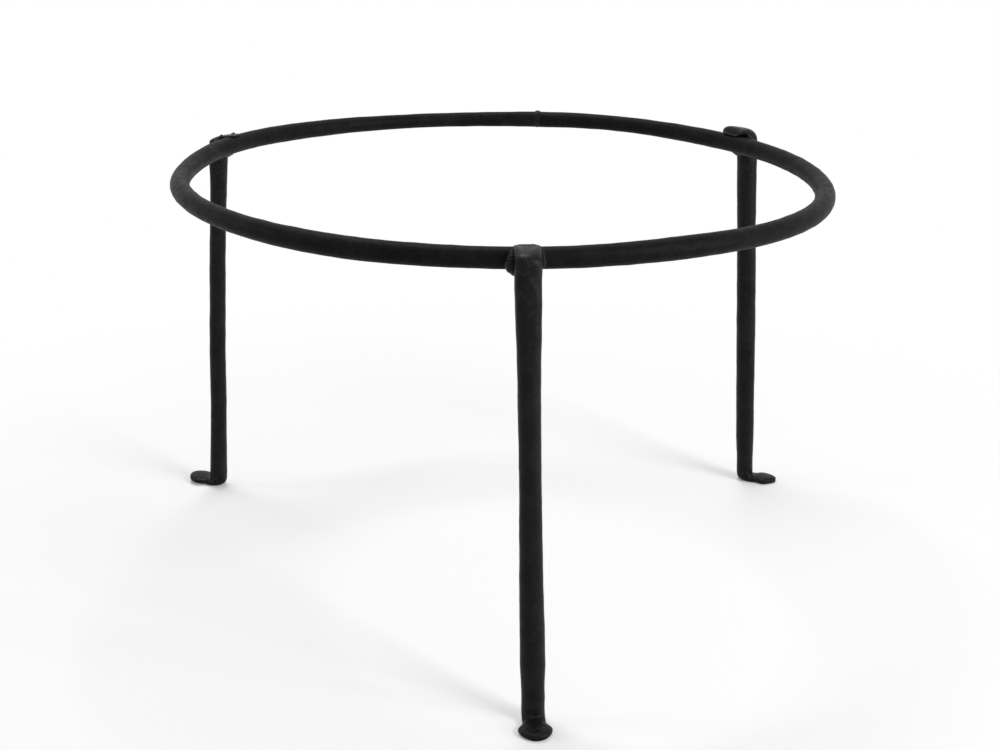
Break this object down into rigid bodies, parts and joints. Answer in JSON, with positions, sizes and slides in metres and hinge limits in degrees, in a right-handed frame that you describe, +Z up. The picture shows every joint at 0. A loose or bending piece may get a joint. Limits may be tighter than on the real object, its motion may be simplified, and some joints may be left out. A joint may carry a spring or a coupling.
{
  "type": "plant pot ring",
  "caption": "Low wrought-iron stand: a level ring that carries a plant pot, on splayed forged legs hooked over the ring, with feet bent outward and hammered into lobes.",
  "frame": {"origin": "on the ring's axis at floor level, where the plane of the soles meets it", "axes": "+Z up along the ring's axis; -Y towards the front leg; +X to the right seen from the front"},
  "size_m": [0.2927, 0.3062, 0.1807],
  "materials": {
    "black_iron": "satin black on forged bar",
    "black_weld": "satin black on rippled weld metal"
  },
  "bodies": {
    "root": {"pot_ring": "black_iron", "ring_closing_weld": "black_weld", "front_leg": "black_iron", "rear_left_leg": "black_iron", "rear_right_leg": "black_iron", "front_leg_weld": "black_weld", "rear_left_leg_weld": "black_weld", "rear_right_leg_weld": "black_weld"}
  },
  "joints": []
}
